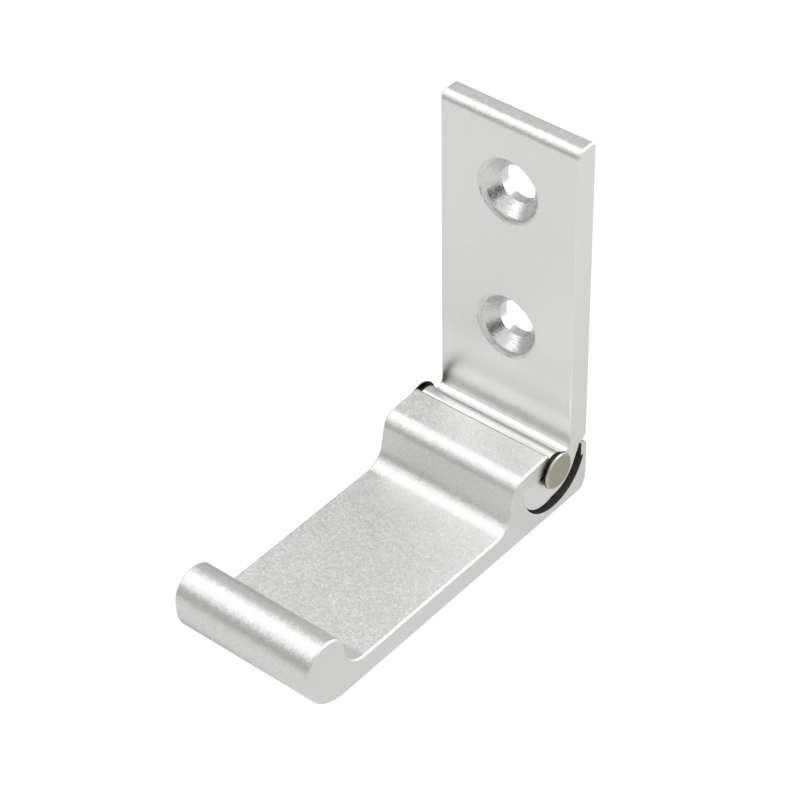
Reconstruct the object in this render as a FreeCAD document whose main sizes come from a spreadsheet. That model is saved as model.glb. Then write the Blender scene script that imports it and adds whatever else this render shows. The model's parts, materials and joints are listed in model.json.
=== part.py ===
"""Folding wall hook: a screwed wall plate, a fold-up hook arm and the pin between them.

Millimetres. The origin lies on the wall face, midway between the two screw holes. +X runs along the
hinge, +Y points into the wall and +Z up. The three pieces are drawn from the hinge axis: in every
profile the first coordinate runs towards the wall, the second up, and the pin's centre is (0, 0).
"""
import math
import os
import re
from collections import namedtuple

import FreeCAD
import Part
import Sketcher

# Driving dimensions
SIZES = {
    # Wall plate
    "hook_width": 20.0,            # length of the extrusions along the hinge
    "plate_thickness": 3.3,
    "hole_pitch": 20.0,
    "hole_diameter": 5.0,
    "countersink_diameter": 9.0,
    "countersink_angle": 90.0,     # full cone angle, degrees
    "top_margin": 9.87,            # upper hole to the plate's top
    "foot_margin": 14.0,           # lower hole to the ledge behind the pin
    "top_front_round": 1.15,
    "top_back_round": 0.95,
    "ledge_rise": 0.95,            # ledge above the hinge axis
    "ledge_land": 0.15,            # flat of the ledge, between its rounding and the pin
    "shoulder_gap": 0.3,           # plate's shoulder above the arm's tab
    "shoulder_round": 1.0,
    # Cradle at the plate's foot
    "cradle_radius": 4.4,          # back of the cradle
    "lobe_radius": 4.15,           # front lobe of the cradle
    "lobe_forward": 1.72,          # lobe's centre in front of the hinge axis
    "lobe_down": 0.53,             # lobe's centre below the hinge axis
    "lobe_rise": 0.3,              # lobe's top above the hinge axis
    "lobe_round": 0.5,
    "lobe_bevel": 0.82,            # lobe's bevel, from the seat outwards
    "lobe_drop": 0.6,              # bevel's lower edge below the hinge axis
    "neck_lean": 27.0,             # lean of the neck behind the cradle, degrees
    # Hinge pin
    "pin_radius": 2.2,
    "seat_clearance": 0.03,        # pin in the cradle
    "running_clearance": 0.08,     # pin under the arm's lip
    "head_gap": 0.3,               # head clear of the arm's end
    "head_overhang": 0.3,
    "head_thickness": 0.45,
    "head_round": 0.35,
    # Hook arm
    "arm_overhang": 0.2,           # arm past the plate's width, each end
    "stop_gap": 0.03,              # lip above the cradle's lobe
    "cradle_gap": 0.1,             # socket outside the lobe
    "fold_gap": 0.1,               # folded lip in front of the plate
    "wall_gap": 0.05,              # tab in front of the wall
    "tab_gap": 0.25,               # tab behind the neck
    "tab_rise": 0.4,               # tab's tip above the hinge axis
    "tab_thickness": 1.05,
    "tip_drop": 1.5,               # foot of the tab's thick tip below the hinge axis
    "tab_round": 0.7,
    "heel_round": 1.5,
    "socket_floor": 1.2,
    "arm_thickness": 3.4,
    "arm_reach": 45.6,             # hinge axis to the roll's front
    "roll_radius": 3.25,
    "roll_drop": 0.2,              # roll's top below the lip's
    "front_land": 0.9,             # flat of the roll's front, above its rounding
    "block_wall": 1.65,            # block in front of the socket, at its top
    "block_slope": 1.25,           # how far the block's front face runs out to its foot
    "block_fall": 0.4,             # fall of the block's top from the lip to its front
    "block_round": 2.3,
    "block_foot_round": 2.6,
    "lip_setback": 1.15,           # lip's rear edge in front of the hinge axis
    "lip_round": 0.65,
}

# Places and sizes that follow from the driving dimensions
FOLLOWING = {
    "seat_radius": "pin_radius + seat_clearance",
    "bearing_radius": "pin_radius + running_clearance",
    "head_radius": "pin_radius + head_overhang",
    "socket_radius": "lobe_radius + sqrt(lobe_forward ^ 2 + lobe_down ^ 2) + cradle_gap",
    "lip_underside": "lobe_rise + stop_gap",
    "neck_back": "(cradle_radius + tab_rise * sin(neck_lean)) / cos(neck_lean)",
    "tab_inside": "neck_back + tab_gap",
    "tab_outside": "tab_inside + tab_thickness",
    "wall": "tab_outside + wall_gap",
    "plate_front": "wall - plate_thickness",
    "shoulder": "tab_rise + shoulder_gap",
    "ledge_front": "sqrt(seat_radius ^ 2 - ledge_rise ^ 2)",
    "ledge_round": "plate_front - ledge_front - ledge_land",
    "neck_top": "neck_back + shoulder_gap * tan(neck_lean)",
    "neck_foot": "-cradle_radius * sin(neck_lean)",
    "lower_hole": "ledge_rise + foot_margin",
    "upper_hole": "lower_hole + hole_pitch",
    "plate_top": "upper_hole + top_margin",
    "lip_top": "plate_front - fold_gap",
    "block_top": "lip_top - block_fall",
    "block_front": "socket_radius + block_wall",
    "block_foot": "block_front + block_slope",
    "underside": "socket_radius + socket_floor",
    "tray_depth": "underside - arm_thickness",
    "roll_top": "lip_top - roll_drop",
    "roll_height": "roll_top - roll_radius",
    "roll_centre": "arm_reach - roll_radius",
    "roll_back": "roll_centre - roll_radius",
    "groove_radius": "roll_height + tray_depth",
    "groove_end": "roll_back - groove_radius",
    "nose_height": "roll_height - front_land",
    "nose_radius": "nose_height + underside",
    "nose_end": "arm_reach - nose_radius",
    "half_width": "hook_width / 2",
    "arm_width": "hook_width + 2 * arm_overhang",
    "head_start": "half_width + arm_overhang + head_gap",
    "pin_end": "head_start + head_thickness",
}

doc = FreeCAD.newDocument("FoldingWallHook")
sheet = doc.addObject("Spreadsheet::Sheet", "Sizes")
for row, (alias, size) in enumerate(SIZES.items(), start=1):
    sheet.set(f"A{row}", alias)
    sheet.set(f"B{row}", str(size))
    sheet.setAlias(f"B{row}", alias)
doc.recompute()


def spelled_out(words):
    """The expression of the sheet's cells that these words stand for."""
    def replace(match):
        name = match.group(0)
        if name in FOLLOWING:
            return f"({spelled_out(FOLLOWING[name])})"
        return f"Sizes.{name}" if name in SIZES else name
    return re.sub(r"[a-z_]+", replace, words)


def value(words):
    return float(sheet.evalExpression(spelled_out(words)))


def plane(body, role):
    return next(feature for feature in body.Origin.OriginFeatures if feature.Role == role)


def new_body(name):
    """A body whose own origin is the hinge axis."""
    body = doc.addObject("PartDesign::Body", name)
    body.Label = name
    body.setExpression("Placement.Base.y", spelled_out("-wall"))
    body.setExpression("Placement.Base.z", spelled_out("-(lower_hole + hole_pitch / 2)"))
    return body


def new_sketch(body, name, role):
    sketch = body.newObject("Sketcher::SketchObject", name)
    sketch.AttachmentSupport = [(plane(body, role), "")]
    sketch.MapMode = "FlatFace"
    return sketch


def bind(sketch, constraint, words):
    """Adds a dimension to a sketch and ties it to the sheet."""
    index = sketch.addConstraint(constraint)
    sketch.setExpression(f"Constraints[{index}]", spelled_out(words))


# Points of a sketch's geometry
START, END, CENTRE = 1, 2, 3
ORIGIN = (-1, 1)

# A profile's corner. A coordinate that is None is found on the arc beside it, at the side given as 1 or -1.
# A corner with neither coordinate is where two arcs cross.
Corner = namedtuple("Corner", "across up side", defaults=(None,))

# A profile's arc: its centre, its radius and the way it turns
Arc = namedtuple("Arc", "across up radius turn")
LEFT, RIGHT = 1, -1


def place(sketch, geometry, point, across=None, up=None):
    """Dimensions a point from the origin, along one direction or both."""
    if across is not None:
        bind(sketch, Sketcher.Constraint("DistanceX", *ORIGIN, geometry, point, value(across)), across)
    if up is not None:
        bind(sketch, Sketcher.Constraint("DistanceY", *ORIGIN, geometry, point, value(up)), up)


def vector(across, up):
    return FreeCAD.Vector(across, up, 0)


def centre(arc):
    return vector(value(arc.across), value(arc.up))


def crossing(arc, after, side):
    """Where two arcs cross, to the left of the line between their centres for side 1."""
    step = centre(after) - centre(arc)
    along = (value(arc.radius) ** 2 - value(after.radius) ** 2 + step.Length ** 2) / (2 * step.Length)
    aside = side * (value(arc.radius) ** 2 - along ** 2) ** 0.5
    step.normalize()
    return centre(arc) + step * along + vector(-step.y, step.x) * aside


def corner_point(corner, arc, after):
    """Where a corner lies: as stated, or on the arc before or after it."""
    if corner.up is None and corner.across is None:
        return crossing(arc, after, corner.side)
    arc = arc or after
    if corner.up is None:
        offset = value(corner.across) - value(arc.across)
        rise = (value(arc.radius) ** 2 - offset ** 2) ** 0.5
        return vector(value(corner.across), value(arc.up) + corner.side * rise)
    if corner.across is None:
        offset = value(corner.up) - value(arc.up)
        reach = (value(arc.radius) ** 2 - offset ** 2) ** 0.5
        return vector(value(arc.across) + corner.side * reach, value(corner.up))
    return vector(value(corner.across), value(corner.up))


def arc_geometry(arc, begin, finish):
    middle = centre(arc)
    low, high = (begin, finish) if arc.turn == LEFT else (finish, begin)
    angles = [math.atan2(point.y - middle.y, point.x - middle.x) for point in (low, high)]
    circle = Part.Circle(middle, FreeCAD.Vector(0, 0, 1), value(arc.radius))
    return Part.ArcOfCircle(circle, *angles)


def draw_profile(sketch, steps):
    """Draws a closed profile from steps of a corner and the arc that leads to it, or None for a line."""
    corners = [corner for corner, arc in steps]
    arcs = [arc for corner, arc in steps]
    next_arcs = arcs[1:] + arcs[:1]
    points = [corner_point(corner, arc, after) for corner, arc, after in zip(corners, arcs, next_arcs)]
    for number, arc in enumerate(arcs):
        begin, finish = points[number - 1], points[number]
        sketch.addGeometry(arc_geometry(arc, begin, finish) if arc else Part.LineSegment(begin, finish))
    for number, (corner, arc, after) in enumerate(zip(corners, arcs, next_arcs)):
        following = (number + 1) % len(steps)
        finish = START if arc and arc.turn == RIGHT else END
        begin = END if after and after.turn == RIGHT else START
        sketch.addConstraint(Sketcher.Constraint("Coincident", number, finish, following, begin))
        place(sketch, number, finish, corner.across, corner.up)
        if arc:
            bind(sketch, Sketcher.Constraint("Radius", number, value(arc.radius)), arc.radius)
        if arc and corner.side:
            place(sketch, number, CENTRE, arc.across, arc.up)


def extrude(body, sketch, width):
    pad = body.newObject("PartDesign::Pad", f"{body.Name}_extrusion")
    pad.Profile = sketch
    pad.SideType = "Symmetric"
    pad.setExpression("Length", spelled_out(width))
    doc.recompute()
    return pad


def round_edge(body, base, name, corner, radius):
    """Rounds the edge of a base feature that passes nearest to a corner of its profile."""
    target = Part.Vertex(0, *(value(words) for words in corner))
    distances = [edge.distToShape(target)[0] for edge in base.Shape.Edges]
    nearest = distances.index(min(distances)) + 1
    fillet = body.newObject("PartDesign::Fillet", name)
    fillet.Base = (base, [f"Edge{nearest}"])
    fillet.setExpression("Radius", spelled_out(radius))
    doc.recompute()
    return fillet


# Wall plate: one extrusion, drilled twice
def make_wall_plate():
    body = new_body("wall_plate")
    profile = new_sketch(body, "plate_profile", "YZ_Plane")
    cradle = Arc("0", "0", "cradle_radius", RIGHT)
    lobe = Arc("-lobe_forward", "-lobe_down", "lobe_radius", RIGHT)
    seat = Arc("0", "0", "seat_radius", LEFT)
    draw_profile(profile, [
        (Corner("plate_front", "ledge_rise"), None),
        (Corner("plate_front", "plate_top"), None),
        (Corner("wall", "plate_top"), None),
        (Corner("wall", "shoulder"), None),
        (Corner("neck_top", "shoulder"), None),
        (Corner(None, "neck_foot", 1), None),
        (Corner(None, None, 1), cradle),
        (Corner(None, "lobe_rise", -1), lobe),
        (Corner("-(seat_radius + lobe_bevel)", "lobe_rise"), None),
        (Corner(None, "-lobe_drop", -1), None),
        (Corner(None, "ledge_rise", 1), seat),
    ])
    feature = extrude(body, profile, "hook_width")
    rounds = [
        ("top_front", ("plate_front", "plate_top"), "top_front_round"),
        ("top_back", ("wall", "plate_top"), "top_back_round"),
        ("shoulder", ("wall", "shoulder"), "shoulder_round"),
        ("ledge", ("plate_front", "ledge_rise"), "ledge_round"),
        ("lobe", ("-(lobe_forward + lobe_radius)", "lobe_rise"), "lobe_round"),
    ]
    for name, corner, radius in rounds:
        feature = round_edge(body, feature, f"{name}_rounding", corner, radius)

    centres = new_sketch(body, "hole_centres", "XZ_Plane")
    centres.setExpression("AttachmentOffset.Base.z", spelled_out("-plate_front"))
    for height in ("lower_hole", "upper_hole"):
        circle = Part.Circle(vector(0, value(height)), FreeCAD.Vector(0, 0, 1), value("hole_diameter / 2"))
        index = centres.addGeometry(circle)
        bind(centres, Sketcher.Constraint("Diameter", index, value("hole_diameter")), "hole_diameter")
        centres.addConstraint(Sketcher.Constraint("PointOnObject", index, CENTRE, -2))
        place(centres, index, CENTRE, up=height)
    doc.recompute()
    holes = body.newObject("PartDesign::Hole", "screw_holes")
    holes.Profile = centres
    holes.ThreadType = "None"
    holes.DepthType = "ThroughAll"
    holes.HoleCutType = "Countersink"
    holes.HoleCutCustomValues = True
    holes.setExpression("Diameter", spelled_out("hole_diameter"))
    holes.setExpression("HoleCutDiameter", spelled_out("countersink_diameter"))
    holes.setExpression("HoleCutCountersinkAngle", spelled_out("countersink_angle"))
    doc.recompute()
    return body


# Hook arm: one extrusion
def make_hook_arm():
    body = new_body("hook_arm")
    profile = new_sketch(body, "arm_profile", "YZ_Plane")
    groove = Arc("-groove_end", "roll_height", "groove_radius", RIGHT)
    roll = Arc("-roll_centre", "roll_height", "roll_radius", LEFT)
    nose = Arc("-nose_end", "nose_height", "nose_radius", LEFT)
    socket = Arc("0", "0", "socket_radius", RIGHT)
    bearing = Arc("0", "0", "bearing_radius", RIGHT)
    draw_profile(profile, [
        (Corner("-lip_setback", "lip_top"), None),
        (Corner("-block_front", "block_top"), None),
        (Corner("-block_foot", "-tray_depth"), None),
        (Corner("-groove_end", "-tray_depth"), None),
        (Corner("-roll_back", "roll_height"), groove),
        (Corner("-roll_centre", "roll_top"), roll),
        (Corner("-arm_reach", "roll_height"), roll),
        (Corner("-arm_reach", "nose_height"), None),
        (Corner("-nose_end", "-underside"), nose),
        (Corner("tab_outside", "-underside"), None),
        (Corner("tab_outside", "tab_rise"), None),
        (Corner("tab_inside", "tab_rise"), None),
        (Corner("tab_inside", "-tip_drop"), None),
        (Corner(None, "-tip_drop", 1), None),
        (Corner(None, "lip_underside", -1), socket),
        (Corner(None, "lip_underside", -1), None),
        (Corner("-lip_setback", None, 1), bearing),
    ])
    feature = extrude(body, profile, "arm_width")
    rounds = [
        ("block", ("-block_front", "block_top"), "block_round"),
        ("block_foot", ("-block_foot", "-tray_depth"), "block_foot_round"),
        ("lip", ("-lip_setback", "lip_top"), "lip_round"),
        ("heel", ("tab_outside", "-underside"), "heel_round"),
        ("tab", ("tab_outside", "tab_rise"), "tab_round"),
    ]
    for name, corner, radius in rounds:
        feature = round_edge(body, feature, f"{name}_rounding", corner, radius)
    return body


# Hinge pin: turned, with a low head at each end
def make_hinge_pin():
    body = new_body("hinge_pin")
    profile = new_sketch(body, "pin_profile", "XY_Plane")
    draw_profile(profile, [
        (Corner("pin_end", "0"), None),
        (Corner("pin_end", "head_radius"), None),
        (Corner("head_start", "head_radius"), None),
        (Corner("head_start", "pin_radius"), None),
        (Corner("-head_start", "pin_radius"), None),
        (Corner("-head_start", "head_radius"), None),
        (Corner("-pin_end", "head_radius"), None),
        (Corner("-pin_end", "0"), None),
    ])
    turning = body.newObject("PartDesign::Revolution", "turning")
    turning.Profile = profile
    turning.ReferenceAxis = (profile, ["H_Axis"])
    turning.Angle = 360.0
    doc.recompute()
    rims = [
        f"Edge{number}"
        for number, edge in enumerate(turning.Shape.Edges, start=1)
        if edge.isClosed() and math.isclose(abs(edge.CenterOfMass.x), value("pin_end"))
    ]
    rounding = body.newObject("PartDesign::Fillet", "head_rounding")
    rounding.Base = (turning, rims)
    rounding.setExpression("Radius", spelled_out("head_round"))
    doc.recompute()
    return body


bodies = [make_wall_plate(), make_hook_arm(), make_hinge_pin()]
doc.recompute()

for item in doc.Objects:
    if "Invalid" in item.State or "Error" in item.State:
        raise RuntimeError(f"{item.Name} failed: {item.State}")
os.makedirs("parts", exist_ok=True)
for body in bodies:
    shape = body.Shape
    if shape.isNull() or not shape.isValid() or len(shape.Solids) != 1:
        raise RuntimeError(f"{body.Label} isn't one valid solid")
for body in bodies:
    body.Shape.exportStep(f"parts/{body.Label}.step")
    box = body.Shape.BoundBox
    print(
        f"{body.Label}: {body.Shape.Volume:.1f} mm3, X {box.XMin:.2f} to {box.XMax:.2f}, "
        f"Y {box.YMin:.2f} to {box.YMax:.2f}, Z {box.ZMin:.2f} to {box.ZMax:.2f}"
    )
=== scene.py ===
# %% [markdown]
# # A folding wall hook
# The hook is three pieces: a wall plate with two countersunk holes, an arm with a raised roll at its front,
# and the pin that the arm folds about. Plate and arm are lengths sawn off aluminium extrusions and then
# blasted to a satin silver. The exact solids come in ready made, so this lesson is about finish: breaking
# the sharp edges, telling blasted skin from sawn ends and drilled cones, and lighting bare metal on white.

# %% Load the solids
import json
import math

import bmesh
import bpy
from mathutils import Matrix, Vector

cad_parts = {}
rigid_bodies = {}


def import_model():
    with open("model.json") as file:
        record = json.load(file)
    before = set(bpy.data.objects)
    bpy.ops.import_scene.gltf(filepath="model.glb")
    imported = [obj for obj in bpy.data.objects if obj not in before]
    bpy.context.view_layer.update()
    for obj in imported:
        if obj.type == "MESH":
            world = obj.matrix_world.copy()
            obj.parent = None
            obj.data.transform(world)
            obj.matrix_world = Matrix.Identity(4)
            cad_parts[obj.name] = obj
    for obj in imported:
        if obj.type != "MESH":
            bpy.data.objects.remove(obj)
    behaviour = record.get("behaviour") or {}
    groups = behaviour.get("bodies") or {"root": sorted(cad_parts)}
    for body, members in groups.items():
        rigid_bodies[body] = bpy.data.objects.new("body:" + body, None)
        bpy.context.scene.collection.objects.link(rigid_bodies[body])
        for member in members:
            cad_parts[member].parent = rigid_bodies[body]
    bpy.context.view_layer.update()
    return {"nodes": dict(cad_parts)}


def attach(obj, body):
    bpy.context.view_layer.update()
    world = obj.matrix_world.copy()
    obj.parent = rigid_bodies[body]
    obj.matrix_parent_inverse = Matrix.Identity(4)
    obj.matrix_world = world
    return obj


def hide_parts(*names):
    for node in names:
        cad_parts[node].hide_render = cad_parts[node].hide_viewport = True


for leftover in list(bpy.data.objects):
    bpy.data.objects.remove(leftover)
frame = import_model()
scene = bpy.context.scene
MM = 0.001


# %% [markdown]
# ## The camera
# A camera can be placed by eye, or worked out from edges whose true lengths are known. Here it was worked
# out: the screw holes, the plate's corners and the arm's corners fix a long lens about 36 cm away, looking
# down by 40 degrees from the right. The three directions below are the camera's own axes, so they can be
# written straight into its matrix, and the small roll is a turn of the first two about the third.

# %% Place the camera
VIEW_AZIMUTH = math.radians(40.2)
VIEW_ELEVATION = math.radians(40.185)
VIEW_ROLL = math.radians(-0.916)
PLATE_FOOT = Vector((0.0, -3.3, -24.0)) * MM
LENS_RIGHT, LENS_UP, LENS_AWAY = -12.884, 1.892, 359.922
SENSOR_WIDTH = 36.0
LENS_LENGTH = 131.44
NEAREST_SEEN = 0.01

towards_lens = Vector((
    math.sin(VIEW_AZIMUTH) * math.cos(VIEW_ELEVATION),
    -math.cos(VIEW_AZIMUTH) * math.cos(VIEW_ELEVATION),
    math.sin(VIEW_ELEVATION),
))
level_right = Vector((math.cos(VIEW_AZIMUTH), math.sin(VIEW_AZIMUTH), 0.0))
level_up = towards_lens.cross(level_right)
picture_right = math.cos(VIEW_ROLL) * level_right + math.sin(VIEW_ROLL) * level_up
picture_up = math.cos(VIEW_ROLL) * level_up - math.sin(VIEW_ROLL) * level_right
from_foot = LENS_RIGHT * picture_right + LENS_UP * picture_up + LENS_AWAY * towards_lens
lens_place = PLATE_FOOT + from_foot * MM

camera_data = bpy.data.cameras.new("camera")
camera_data.sensor_width = SENSOR_WIDTH
camera_data.lens = LENS_LENGTH
camera_data.clip_start = NEAREST_SEEN
camera = bpy.data.objects.new("camera", camera_data)
scene.collection.objects.link(camera)
axes = Matrix((picture_right, picture_up, towards_lens)).transposed()
camera.matrix_world = Matrix.Translation(lens_place) @ axes.to_4x4()
scene.camera = camera
print("camera at", [round(value, 4) for value in lens_place], "m")

# %% [markdown]
# ## The white set
# Silver on white is hard, because the metal mirrors the white and disappears. The floor is a plain pale
# sheet some way below the hook, so its shadow falls softly and clear of the picture. World and floor are
# white to the lens and to the metal alike, and a little dimmer as a source of light, so that the floor
# doesn't burn out.

# %% Helper: add shader nodes and fill their inputs
WHITE = (1.0, 1.0, 1.0, 1.0)


def add_node(tree, kind, inputs=None, **settings):
    """Adds a node. An input takes a plain value, or the output socket of another node."""
    made = tree.nodes.new(kind)
    for setting, choice in settings.items():
        setattr(made, setting, choice)
    for socket, source in (inputs or {}).items():
        if isinstance(source, bpy.types.NodeSocket):
            tree.links.new(source, made.inputs[socket])
        else:
            made.inputs[socket].default_value = source
    return made


def maths(tree, operation, *values):
    """The result of a sum on numbers or sockets."""
    return add_node(tree, "ShaderNodeMath", dict(enumerate(values)), operation=operation).outputs[0]


def looked_at(tree):
    """1 where the lens sees this point, itself or in metal or glass, and 0 where it only gives light."""
    rays = add_node(tree, "ShaderNodeLightPath")
    seen = rays.outputs["Is Camera Ray"]
    for kind in ("Is Glossy Ray", "Is Transmission Ray"):
        seen = maths(tree, "MAXIMUM", seen, rays.outputs[kind])
    return seen


# %% White world
FILL_LEVEL = 0.7

scene.view_settings.view_transform = "Standard"
world = bpy.data.worlds.new("white_studio")
scene.world = world
world.use_nodes = True
sky = world.node_tree
sky.nodes.clear()
fill = add_node(sky, "ShaderNodeBackground", {"Color": WHITE, "Strength": FILL_LEVEL})
white = add_node(sky, "ShaderNodeBackground", {"Color": WHITE, "Strength": 1.0})
either = add_node(sky, "ShaderNodeMixShader", {0: looked_at(sky), 1: fill.outputs[0], 2: white.outputs[0]})
add_node(sky, "ShaderNodeOutputWorld", {"Surface": either.outputs[0]})
print("world:", len(sky.nodes), "nodes")

# %% Pale floor
FLOOR_HEIGHT = -0.11
FLOOR_SIZE = 6.0
PAPER = (0.9, 0.9, 0.9, 1.0)
PAPER_LIFT = 0.25


def flat_sheet(name, width, height, level, material):
    """A rectangle round the middle, at a level, as an object with its own material."""
    corners = [(x * width / 2, y * height / 2, level) for x, y in ((-1, -1), (1, -1), (1, 1), (-1, 1))]
    mesh = bpy.data.meshes.new(name)
    mesh.from_pydata(corners, [], [(0, 1, 2, 3)])
    mesh.materials.append(material)
    sheet = bpy.data.objects.new(name, mesh)
    scene.collection.objects.link(sheet)
    return sheet


paper = bpy.data.materials.new("pale_paper")
paper.use_nodes = True
fibres = paper.node_tree
fibres.nodes.clear()
matt = add_node(fibres, "ShaderNodeBsdfDiffuse", {"Color": PAPER})
lift = maths(fibres, "MULTIPLY", looked_at(fibres), PAPER_LIFT)
glow = add_node(fibres, "ShaderNodeEmission", {"Color": WHITE, "Strength": lift})
lit = add_node(fibres, "ShaderNodeAddShader", {0: matt.outputs[0], 1: glow.outputs[0]})
add_node(fibres, "ShaderNodeOutputMaterial", {"Surface": lit.outputs[0]})
floor = flat_sheet("floor", FLOOR_SIZE, FLOOR_SIZE, FLOOR_HEIGHT, paper)
print("floor", round(-FLOOR_HEIGHT / MM), "mm below the screw holes' middle")

# %% [markdown]
# ## Soft boxes and grey cards
# Bare metal shows what stands round it, so it is lit by choosing what it sees. Every long face of the hook
# runs the same way, so all its reflections lie on one ring around the hinge direction. On that ring the
# flat faces see the table and the far wall, which are pale grey cards here, and the rounded edges sweep
# past everything between. A wide soft box up on the left gives them their white band, a card low in front
# gives the grey line beside it, and cards behind, on the left, underneath and to the side give the other
# dark lines. A nearly black card beside the lens and a paler one above it split the countersinks into
# sectors, and two small cards on the table shade the underside of the roll and the end of the hinge. A
# second soft box, behind on the right, picks out the sawn edges.

# %% Add the lights
HOOK_MIDDLE = Vector((0.0, -0.025, -0.005))


def aim(place):
    """The matrix of a thing at a place that faces the hook, with its width along the hinge."""
    away = (place - HOOK_MIDDLE).normalized()
    along = Vector((1.0, 0.0, 0.0))
    along = (along - along.dot(away) * away).normalized()
    return Matrix.Translation(place) @ Matrix((along, away.cross(along), away)).transposed().to_4x4()


def soft_box(name, place, width, height, radiance):
    """A rectangular light that faces the hook and that the lens doesn't see."""
    light_data = bpy.data.lights.new(name, "AREA")
    light_data.shape = "RECTANGLE"
    light_data.size = width
    light_data.size_y = height
    light_data.energy = radiance * math.pi * width * height
    light = bpy.data.objects.new(name, light_data)
    scene.collection.objects.link(light)
    light.matrix_world = aim(place)
    light.visible_camera = False
    return light


main_box = soft_box("main_soft_box", Vector((-0.34, -0.085, 0.59)), 0.65, 1.0, 0.5)
rim_box = soft_box("rim_soft_box", Vector((0.42, 0.38, 0.34)), 0.4, 0.4, 2.5)
print("soft boxes:", main_box.name, rim_box.name)

# %% Add the grey cards
def grey_card(name, place, width, height, tone):
    """A card that the metal alone sees. It glows at its own tone, so it stays as grey as it is written."""
    face = bpy.data.materials.new(f"{name}_face")
    face.use_nodes = True
    tree = face.node_tree
    tree.nodes.clear()
    glow = add_node(tree, "ShaderNodeEmission", {"Color": (tone, tone, tone, 1.0), "Strength": 1.0})
    add_node(tree, "ShaderNodeOutputMaterial", {"Surface": glow.outputs[0]})
    card = flat_sheet(name, width, height, 0.0, face)
    card.matrix_world = aim(place)
    for kind in ("camera", "diffuse", "shadow", "transmission"):
        setattr(card, f"visible_{kind}", False)
    return card


cards = [
    grey_card("table_card", Vector((0.0, -0.025, -0.105)), 1.6, 1.6, 0.79),
    grey_card("wall_card", Vector((-0.30, 0.475, 0.425)), 1.2, 0.55, 0.515),
    grey_card("front_card", Vector((-0.17, -0.32, 0.02)), 0.6, 0.23, 0.38),
    grey_card("back_card", Vector((-0.20, 0.33, -0.03)), 0.5, 0.2, 0.36),
    grey_card("left_card", Vector((-0.47, -0.06, -0.05)), 0.7, 0.7, 0.42),
    grey_card("lens_card", Vector((0.27, -0.36, 0.10)), 0.3, 0.3, 0.02),
    grey_card("under_card", Vector((-0.10, 0.07, -0.10)), 0.14, 0.12, 0.36),
    grey_card("side_card", Vector((-0.24, 0.03, -0.10)), 0.2, 0.2, 0.4),
    grey_card("roll_card", Vector((-0.05, -0.0225, -0.10)), 0.06, 0.07, 0.3),
    grey_card("hinge_card", Vector((0.064, 0.062, -0.10)), 0.04, 0.04, 0.6),
    grey_card("brow_card", Vector((-0.02, -0.325, 0.275)), 0.2, 0.16, 0.65),
]
print("grey cards:", [card.name for card in cards])

# %% [markdown]
# ## Breaking the edges
# A drawing's edges are perfectly sharp, but no sawn edge is, and the thin line of light along it is what
# makes metal look real. A bevel modifier would slide along every triangle side, and where the outline has
# short edges it makes itself too narrow to see. So each solid is copied, its split corners are joined and
# its flat triangles are merged back into whole faces. Then each sawn end is inset, and its old outline is
# drawn back along the piece by the same amount, which leaves one flat facet, as from a file. In the hinge,
# round the pin and on the tab the edges stay sharp, because two broken edges side by side would draw a line
# where the real pieces just touch. The copy stands in for the solid it was made from, in the same place and
# of the same size.

# %% Helper: tell which edges stay sharp
PIN_BEHIND, PIN_HEIGHT = -6.492, -24.95
HINGE_RADIUS = 6.1
STOP_ABOVE_PIN = 0.36
SEAT_RADIUS = 2.9
TAB_FRONT, TAB_FOOT, TAB_TOP = -1.6, -30.7, -23.0


def from_pin(place):
    """How far a place, in metres, lies above the pin's axis and how far away from it, in millimetres."""
    behind, above = place.y / MM - PIN_BEHIND, place.z / MM - PIN_HEIGHT
    return above, math.hypot(behind, above)


def inside_hinge(place):
    """Whether a place, in metres, lies inside the hinge."""
    above, distance = from_pin(place)
    return above < STOP_ABOVE_PIN and distance < HINGE_RADIUS


def stays_sharp(place):
    """Whether an edge at a place, in metres, is left as sawn: in the hinge, round the pin and on the tab."""
    round_pin = from_pin(place)[1] < SEAT_RADIUS
    on_tab = place.y / MM > TAB_FRONT and TAB_FOOT < place.z / MM < TAB_TOP
    return on_tab or round_pin or inside_hinge(place)


print("hinge reaches", HINGE_RADIUS, "mm from the pin, its seat", SEAT_RADIUS, "mm")

# %% Copy the plate and the arm with broken edges
WELD = 0.001 * MM
FLAT_ANGLE = math.radians(0.3)
SHARP_ANGLE = math.radians(40)
ALONG_HINGE = 0.98
EDGE_BREAK = 0.18 * MM


def sawn_ends(work):
    """The two outermost faces of a solid that look along the hinge."""
    half = max(corner.co.x for corner in work.verts)
    facing = [face for face in work.faces if abs(face.normal.x) > ALONG_HINGE]
    return [face for face in facing if all(abs(corner.co.x) > half - WELD for corner in face.verts)]


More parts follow.
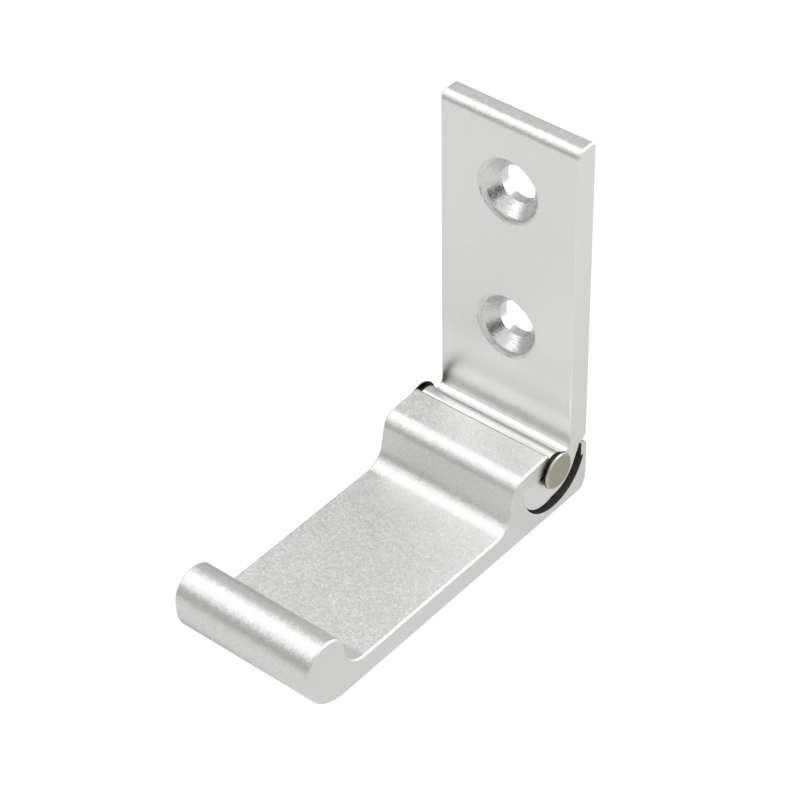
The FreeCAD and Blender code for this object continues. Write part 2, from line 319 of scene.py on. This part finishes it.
def broken_edges(name, body, width):
    """A copy of a solid with the edges of its sawn ends broken, which stands for it."""
    work = bmesh.new()
    work.from_mesh(frame["nodes"][name].data)
    bmesh.ops.remove_doubles(work, verts=work.verts, dist=WELD)
    bmesh.ops.dissolve_limit(work, angle_limit=FLAT_ANGLE, verts=work.verts, edges=work.edges)
    ends = sawn_ends(work)
    for end in ends:
        facets = bmesh.ops.inset_region(work, faces=[end], thickness=width, use_boundary=True,
                                        use_even_offset=True)["faces"]
        outline = {corner for facet in facets for corner in facet.verts} - set(end.verts)
        for corner in outline:
            if not stays_sharp(corner.co):
                corner.co.x -= math.copysign(width, corner.co.x)
    mesh = bpy.data.meshes.new(f"{name}_finished")
    work.to_mesh(mesh)
    work.free()
    mesh.shade_smooth()
    mesh.set_sharp_from_angle(angle=SHARP_ANGLE)
    piece = bpy.data.objects.new(f"{name}_finished", mesh)
    scene.collection.objects.link(piece)
    even = piece.modifiers.new("flat_faces_stay_flat", "WEIGHTED_NORMAL")
    even.keep_sharp = True
    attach(piece, body)
    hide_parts(name)
    print(piece.name, len(mesh.polygons), "faces,", len(ends), "ends broken by", round(width / MM, 2), "mm")
    return piece


plate = broken_edges("wall_plate", "plate", EDGE_BREAK)
arm = broken_edges("hook_arm", "arm", EDGE_BREAK)

# %% [markdown]
# ## Blasted aluminium
# Blasting leaves a field of tiny dents. Each one mirrors a slightly different part of the room, so the
# metal looks satin from afar and sparkles close up. A noise would give only soft clouds, so the dents are
# small cells, each with its own tilt of the surface and a shallow bump, and a few of them are painted bright
# in the base colour as glints. The arm was blasted harder than the plate. Low on the plate a paler strip is
# painted in as reflected light from the arm, and below it, in the inner corner, a darker strip as painted
# shade; the inside of the hinge is painted dark as shade too.

# %% Helper: a metal with millimetre coordinates that stay with the piece
def new_finish(name):
    """A material with its tree, its metal shader and coordinates in millimetres."""
    finish = bpy.data.materials.new(name)
    finish.use_nodes = True
    tree = finish.node_tree
    metal = tree.nodes["Principled BSDF"]
    metal.inputs["Metallic"].default_value = 1.0
    place = add_node(tree, "ShaderNodeTexCoord").outputs["Object"]
    scaled = add_node(tree, "ShaderNodeVectorMath", {0: place, "Scale": 1.0 / MM}, operation="SCALE")
    return finish, tree, metal, scaled.outputs["Vector"]


def vector_maths(tree, operation, *values):
    """The result of a sum on vectors or sockets, as a vector."""
    made = add_node(tree, "ShaderNodeVectorMath", dict(enumerate(values)), operation=operation)
    return made.outputs["Vector"]


def cloudy(tree, place, scale, detail):
    """A soft pattern between 0 and 1 that doesn't repeat."""
    made = add_node(tree, "ShaderNodeTexNoise", {"Vector": place, "Scale": scale, "Detail": detail})
    return made.outputs["Fac"]


# %% Helper: let a pattern drive colour, roughness and bump
def between(tree, factor, low, high):
    """A colour that runs from low to high, which are colours or sockets, as the factor runs from 0 to 1."""
    low, high = (end if isinstance(end, bpy.types.NodeSocket) else (*end, 1.0) for end in (low, high))
    mixed = add_node(tree, "ShaderNodeMix", {"Factor": factor, "A": low, "B": high}, data_type="RGBA")
    return mixed.outputs["Result"]


def roughen(tree, metal, pattern, roughness, spread):
    """Lets the roughness run from a spread below its middle to a spread above it, with the pattern."""
    ends = {"Value": pattern, "To Min": roughness - spread, "To Max": roughness + spread}
    rough = add_node(tree, "ShaderNodeMapRange", ends)
    tree.links.new(rough.outputs["Result"], metal.inputs["Roughness"])


def dent(tree, metal, pattern, depth, **normal):
    """Raises the surface by up to a depth, in metres, with the pattern."""
    bump = add_node(tree, "ShaderNodeBump", {"Strength": 1.0, "Distance": depth, "Height": pattern, **normal})
    tree.links.new(bump.outputs["Normal"], metal.inputs["Normal"])


# %% Helper: a strip across the front of the plate
PLATE_MIDDLE = -1.6
RAGGEDNESS = 0.8


def front_strip(tree, place, height, reach):
    """1 at a height on the plate's front, fading raggedly to 0 within the reach above and below."""
    parts = add_node(tree, "ShaderNodeSeparateXYZ", {"Vector": place})
    edge = cloudy(tree, place, scale=1.3, detail=4.0)
    ragged = maths(tree, "MULTIPLY_ADD", edge, RAGGEDNESS, parts.outputs["Z"])
    away = maths(tree, "ABSOLUTE", maths(tree, "SUBTRACT", ragged, height + RAGGEDNESS / 2))
    fading = {"Value": away, "From Min": 0.0, "From Max": reach, "To Min": 1.0, "To Max": 0.0}
    strip = add_node(tree, "ShaderNodeMapRange", fading, interpolation_type="SMOOTHSTEP")
    front = maths(tree, "LESS_THAN", parts.outputs["Y"], PLATE_MIDDLE)
    return maths(tree, "MULTIPLY", strip.outputs["Result"], front)


# %% Make the blasted finishes
DENTS_PER_MM = 4.5
DENT_DEPTH = 0.002 * MM
GLINT_SHARPNESS = 5.0
GLINT_SHARE, CLOUD_SHARE = 0.9, 0.35
BLAST_SPREAD = 0.03
LEVEL = (0.5, 0.5, 0.5)


def blasted(name, dull, bright, roughness, tilt, painted_strips=()):
    """A field of small cells, a few of them painted bright as glints, each tilted its own way."""
    finish, tree, metal, place = new_finish(name)
    cells = add_node(tree, "ShaderNodeTexVoronoi", {"Vector": place, "Scale": DENTS_PER_MM})
    clouds = cloudy(tree, place, scale=0.35, detail=3.0)
    speck = add_node(tree, "ShaderNodeSeparateColor", {"Color": cells.outputs["Color"]})
    # A few cells are painted bright in the base colour: painted glints that stand in for sparkle from the
    # light.
    painted_glint = maths(tree, "POWER", speck.outputs["Red"], GLINT_SHARPNESS)
    patch = maths(tree, "MULTIPLY", clouds, CLOUD_SHARE)
    tone = maths(tree, "MULTIPLY_ADD", painted_glint, GLINT_SHARE, patch)
    colour = between(tree, tone, dull, bright)
    # Strips of painted light laid over the plate's front: a paler one for reflected light, a darker one for
    # shade.
    for height, reach, painted_strip_colour in painted_strips:
        colour = between(tree, front_strip(tree, place, height, reach), colour, painted_strip_colour)
    tree.links.new(colour, metal.inputs["Base Color"])
    roughen(tree, metal, clouds, roughness, BLAST_SPREAD)
    aside = vector_maths(tree, "SUBTRACT", cells.outputs["Color"], LEVEL)
    facing = add_node(tree, "ShaderNodeNewGeometry").outputs["Normal"]
    leaning = vector_maths(tree, "MULTIPLY_ADD", aside, (tilt, tilt, tilt), facing)
    facet = vector_maths(tree, "NORMALIZE", leaning)
    dent(tree, metal, cells.outputs["Distance"], DENT_DEPTH, Normal=facet)
    return finish


# A paler strip painted low on the plate's front: painted reflection of the arm, not wear.
painted_reflection_strip = (-17.5, 5.0, (0.985, 0.985, 0.97))
# A darker strip painted in the inner corner at the plate's foot: painted shade.
painted_shade_strip = (-22.65, 1.4, (0.68, 0.68, 0.66))
plate_skin = blasted("blasted_plate", (0.865, 0.865, 0.85), (0.91, 0.91, 0.895), roughness=0.36, tilt=0.015,
                     painted_strips=[painted_reflection_strip, painted_shade_strip])
arm_skin = blasted("blasted_arm", (0.77, 0.77, 0.76), (0.87, 0.87, 0.855), roughness=0.42, tilt=0.12)
# The inside of the hinge is painted dark: painted shade in the gap between the parts.
painted_shade_hinge = blasted("hinge_painted_shade", (0.20, 0.20, 0.195), (0.28, 0.28, 0.27), roughness=0.5, tilt=0.05)
print("finishes:", plate_skin.name, arm_skin.name, painted_shade_hinge.name)

# %% [markdown]
# ## Sawn ends
# The ends show the saw: fine straight lines, a little duller than the blasted skin. A wave would repeat too
# neatly, so the lines are a noise stretched along the cut.

# %% Make the sawn finish
CUT_SLANT = math.radians(35)
CUT_STRETCH = (1.0, 0.15, 6.0)
CUT_DEPTH = 0.003 * MM
CUT_SPREAD = 0.05


def sawn(name, dull, bright, roughness):
    """Fine straight lines across an end."""
    finish, tree, metal, place = new_finish(name)
    turned = {"Vector": place, "Rotation": (CUT_SLANT, 0.0, 0.0), "Scale": CUT_STRETCH}
    stretched = add_node(tree, "ShaderNodeMapping", turned)
    lines = cloudy(tree, stretched.outputs["Vector"], scale=1.6, detail=4.0)
    tree.links.new(between(tree, lines, dull, bright), metal.inputs["Base Color"])
    roughen(tree, metal, lines, roughness, CUT_SPREAD)
    dent(tree, metal, lines, CUT_DEPTH)
    return finish


plate_end = sawn("sawn_plate_end", (0.80, 0.80, 0.78), (0.87, 0.87, 0.85), roughness=0.4)
arm_end = sawn("sawn_arm_end", (0.74, 0.74, 0.72), (0.79, 0.79, 0.77), roughness=0.4)
print("finishes:", plate_end.name, arm_end.name)

# %% [markdown]
# ## Drilled cones
# The countersinks were cut after blasting, so they are bright, with short chatter marks left by the tool. A
# wave would give perfect rings, so the marks are a noise over the cone unrolled flat: distance from the
# hole's own axis one way and angle round it the other. Such marks also stretch a reflection across
# themselves, which is what splits a turned cone into bright and dark sectors, so the shader is given a
# direction that runs round the hole.

# %% Make the drilled finish
HOLE_FROM_MIDDLE = 10.0
HOLE_AXIS = (0.0, 1.0, 0.0)
STRETCHED_SHINE = 0.5
CHATTER_STRETCH = (5.0, 4.0, 3.0)
CHATTER_DEPTH = 0.05 * MM
CHATTER_SPREAD = 0.06


def drilled(name, colour, roughness):
    """Short marks round each of the two holes, above and below the middle."""
    finish, tree, metal, place = new_finish(name)
    metal.inputs["Base Color"].default_value = (*colour, 1.0)
    metal.inputs["Anisotropic"].default_value = STRETCHED_SHINE
    parts = add_node(tree, "ShaderNodeSeparateXYZ", {"Vector": place})
    side = maths(tree, "SIGN", parts.outputs["Z"])
    centre = maths(tree, "MULTIPLY", side, HOLE_FROM_MIDDLE)
    above = maths(tree, "SUBTRACT", parts.outputs["Z"], centre)
    spoke = add_node(tree, "ShaderNodeCombineXYZ", {"X": parts.outputs["X"], "Z": above}).outputs["Vector"]
    tree.links.new(vector_maths(tree, "CROSS_PRODUCT", spoke, HOLE_AXIS), metal.inputs["Tangent"])
    radius = add_node(tree, "ShaderNodeVectorMath", {0: spoke}, operation="LENGTH").outputs["Value"]
    angle = maths(tree, "ARCTAN2", above, parts.outputs["X"])
    unrolled = add_node(tree, "ShaderNodeCombineXYZ", {"X": radius, "Y": angle, "Z": side})
    flattened = {"Vector": unrolled.outputs["Vector"], "Scale": CHATTER_STRETCH}
    stretched = add_node(tree, "ShaderNodeMapping", flattened)
    chatter = cloudy(tree, stretched.outputs["Vector"], scale=1.0, detail=3.0)
    roughen(tree, metal, chatter, roughness, CHATTER_SPREAD)
    dent(tree, metal, chatter, CHATTER_DEPTH)
    return finish


bright_cone = drilled("drilled_cone", (0.80, 0.80, 0.79), roughness=0.28)
print("finish:", bright_cone.name)

# %% [markdown]
# ## Which face was made how
# One mesh carries several finishes, so each face gets its own. A face that looks straight along the hinge
# is a sawn end. On the plate, a face inside a countersink's rim that doesn't look straight forwards was
# drilled, and the top, which faces the blasting gun, is as coarse as the arm. On the arm, the inside of the
# hinge is painted dark as painted shade between the parts. The rest is skin.

# %% Sort the faces
COUNTERSINK_RADIUS = 4.5
PLATE_TOP_STARTS = 18.7
STRAIGHT_FORWARDS = 0.95


def plate_face(middle, normal):
    """How a face of the plate was made."""
    x, y, z = middle / MM
    in_hole = math.hypot(x, abs(z) - HOLE_FROM_MIDDLE) < COUNTERSINK_RADIUS
    if in_hole and abs(normal.y) < STRAIGHT_FORWARDS:
        return "cone"
    if abs(normal.x) > ALONG_HINGE:
        return "end"
    return "top" if z > PLATE_TOP_STARTS else "skin"


def arm_face(middle, normal):
    """How a face of the arm was made."""
    if abs(normal.x) > ALONG_HINGE:
        return "end"
    return "hinge" if inside_hinge(middle) else "skin"


def sort_faces(piece, finishes, made_how):
    """Gives each face the finish whose name made_how tells from its middle and its direction."""
    piece.data.materials.clear()
    names = list(finishes)
    for name in names:
        piece.data.materials.append(finishes[name])
    counts = dict.fromkeys(names, 0)
    for face in piece.data.polygons:
        how = made_how(face.center, face.normal)
        face.material_index = names.index(how)
        counts[how] += 1
    print(piece.name, "faces:", counts)


sort_faces(plate, {"skin": plate_skin, "end": plate_end, "cone": bright_cone, "top": arm_skin}, plate_face)
sort_faces(arm, {"skin": arm_skin, "end": arm_end, "hinge": painted_shade_hinge}, arm_face)

# %% [markdown]
# ## The pin
# The pin is drawn steel wire, bright and neutral along its length. Its heads were pressed, which left their
# end faces a warm grey; their rims are painted a little brighter as a painted highlight, and the sides and
# backs of the heads are painted dark as painted shade. It keeps its own solid, whose heads are rounded
# already.
# One shader covers all of it: where a point lies along the pin and how far it faces outwards tell which part
# it is.

# %% Make the pin's finish
HEAD_STARTS = 9.95
RIM_FACES_OUT, END_FACES_OUT = 0.3, 0.95
WIRE_STRETCH = (0.2, 6.0, 6.0)
WIRE_DEPTH = 0.002 * MM
WIRE_ROUGHNESS, WIRE_SPREAD = 0.29, 0.07


def drawn_steel(name, wire, end_face, rim, painted_shade_head_side):
    """Fine lines along a pin, with warm grey heads, a painted highlight on their rims and painted shade on
    their sides.
    """
    finish, tree, metal, place = new_finish(name)
    parts = add_node(tree, "ShaderNodeSeparateXYZ", {"Vector": place})
    along = maths(tree, "ABSOLUTE", parts.outputs["X"])
    on_head = maths(tree, "GREATER_THAN", along, HEAD_STARTS)
    which_end = maths(tree, "SIGN", parts.outputs["X"])
    facing = add_node(tree, "ShaderNodeTexCoord").outputs["Normal"]
    facing_parts = add_node(tree, "ShaderNodeSeparateXYZ", {"Vector": facing})
    outwards = maths(tree, "MULTIPLY", facing_parts.outputs["X"], which_end)
    off_side = maths(tree, "GREATER_THAN", outwards, RIM_FACES_OUT)
    on_face = maths(tree, "GREATER_THAN", outwards, END_FACES_OUT)
    # The sides of the heads and the neck behind them are painted nearly black: painted shade next to the arm.
    head = between(tree, off_side, painted_shade_head_side, between(tree, on_face, rim, end_face))
    tree.links.new(between(tree, on_head, wire, head), metal.inputs["Base Color"])
    drawn = add_node(tree, "ShaderNodeMapping", {"Vector": place, "Scale": WIRE_STRETCH})
    lines = cloudy(tree, drawn.outputs["Vector"], scale=1.0, detail=3.0)
    roughen(tree, metal, lines, WIRE_ROUGHNESS, WIRE_SPREAD)
    dent(tree, metal, lines, WIRE_DEPTH)
    return finish


# The rim colour is lighter than the end face as a painted highlight; the head sides are painted shade.
pin_finish = drawn_steel("steel_pin", wire=(0.84, 0.84, 0.82), end_face=(0.43, 0.413, 0.325),
                         rim=(0.58, 0.55, 0.45), painted_shade_head_side=(0.03, 0.03, 0.027))
pin = frame["nodes"]["hinge_pin"]
pin.data.materials.clear()
pin.data.materials.append(pin_finish)
print("finish:", pin_finish.name)
